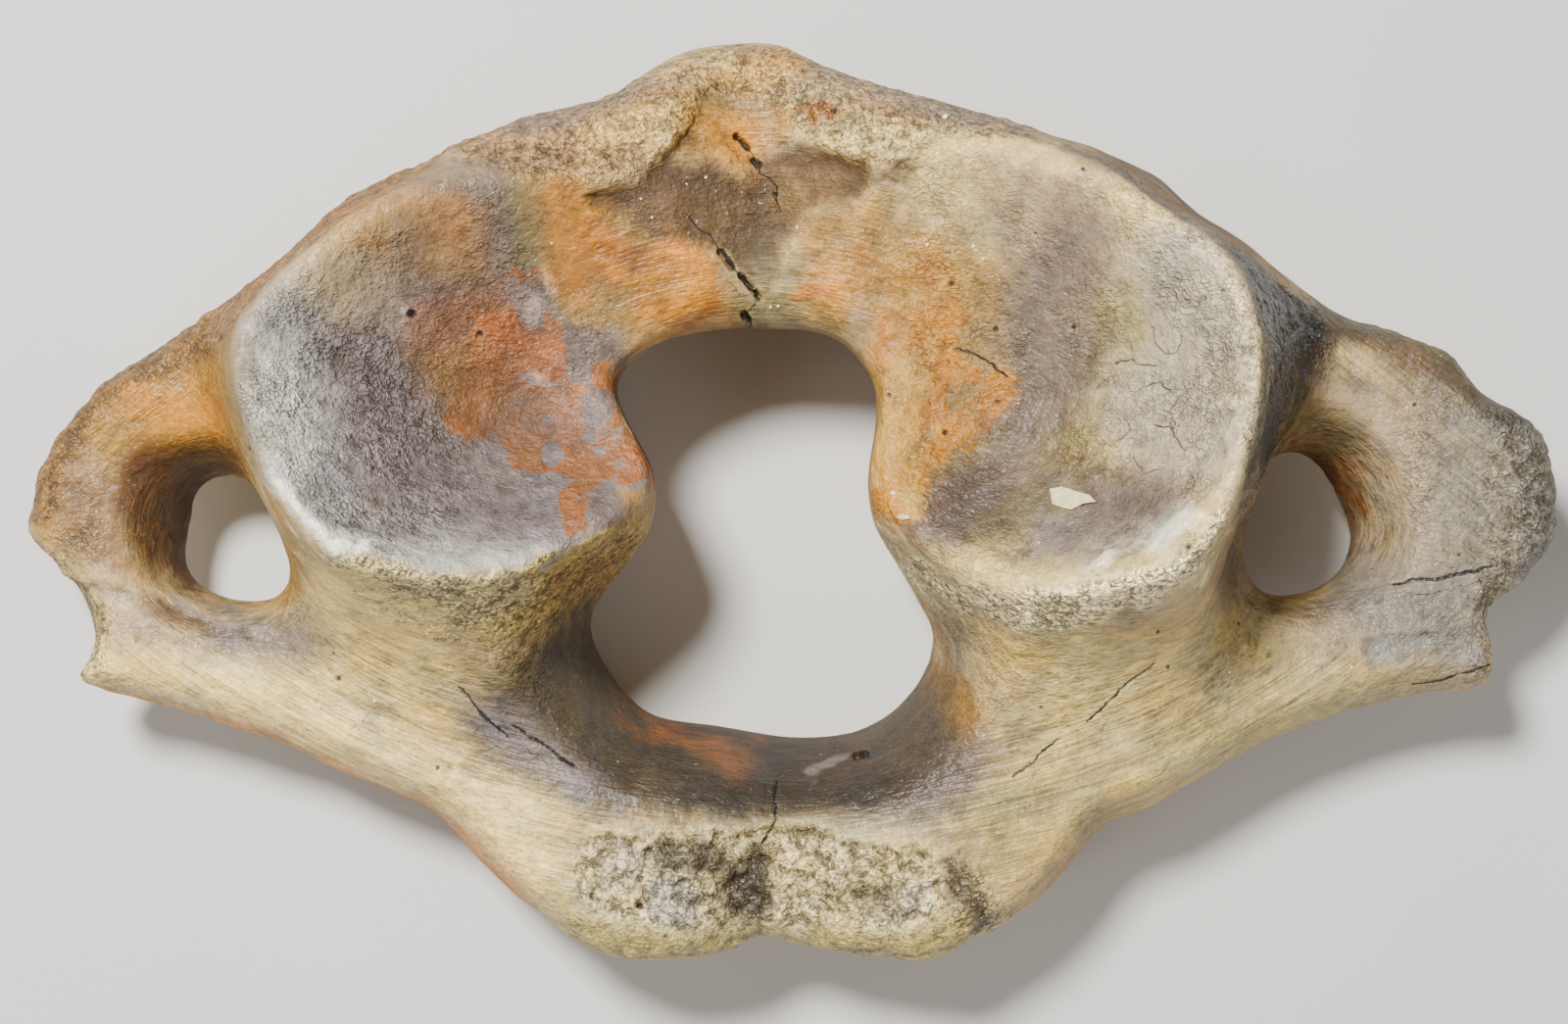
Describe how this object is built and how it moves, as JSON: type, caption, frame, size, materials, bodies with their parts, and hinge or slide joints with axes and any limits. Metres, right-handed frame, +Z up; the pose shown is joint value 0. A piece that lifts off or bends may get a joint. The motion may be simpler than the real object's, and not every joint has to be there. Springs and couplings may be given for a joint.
{
  "type": "fossil mammoth atlas vertebra",
  "caption": "Fossil mammoth atlas, the first neck vertebra, lying front face up: deep skull cups, spinal opening, pierced wings with broken tips.",
  "frame": {"origin": "middle of the bone's outline in plan, on the surface it lies on", "axes": "+Z up, from the rear face it lies on to the front face with the skull cups; +Y from the spine stump to the belly tubercle; +X along the wings"},
  "size_m": [0.4198, 0.2494, 0.1349],
  "materials": {
    "fossil_bone": "matte to satin mineral-stained fossil bone"
  },
  "bodies": {
    "root": {"atlas_vertebra": "fossil_bone"}
  },
  "joints": []
}
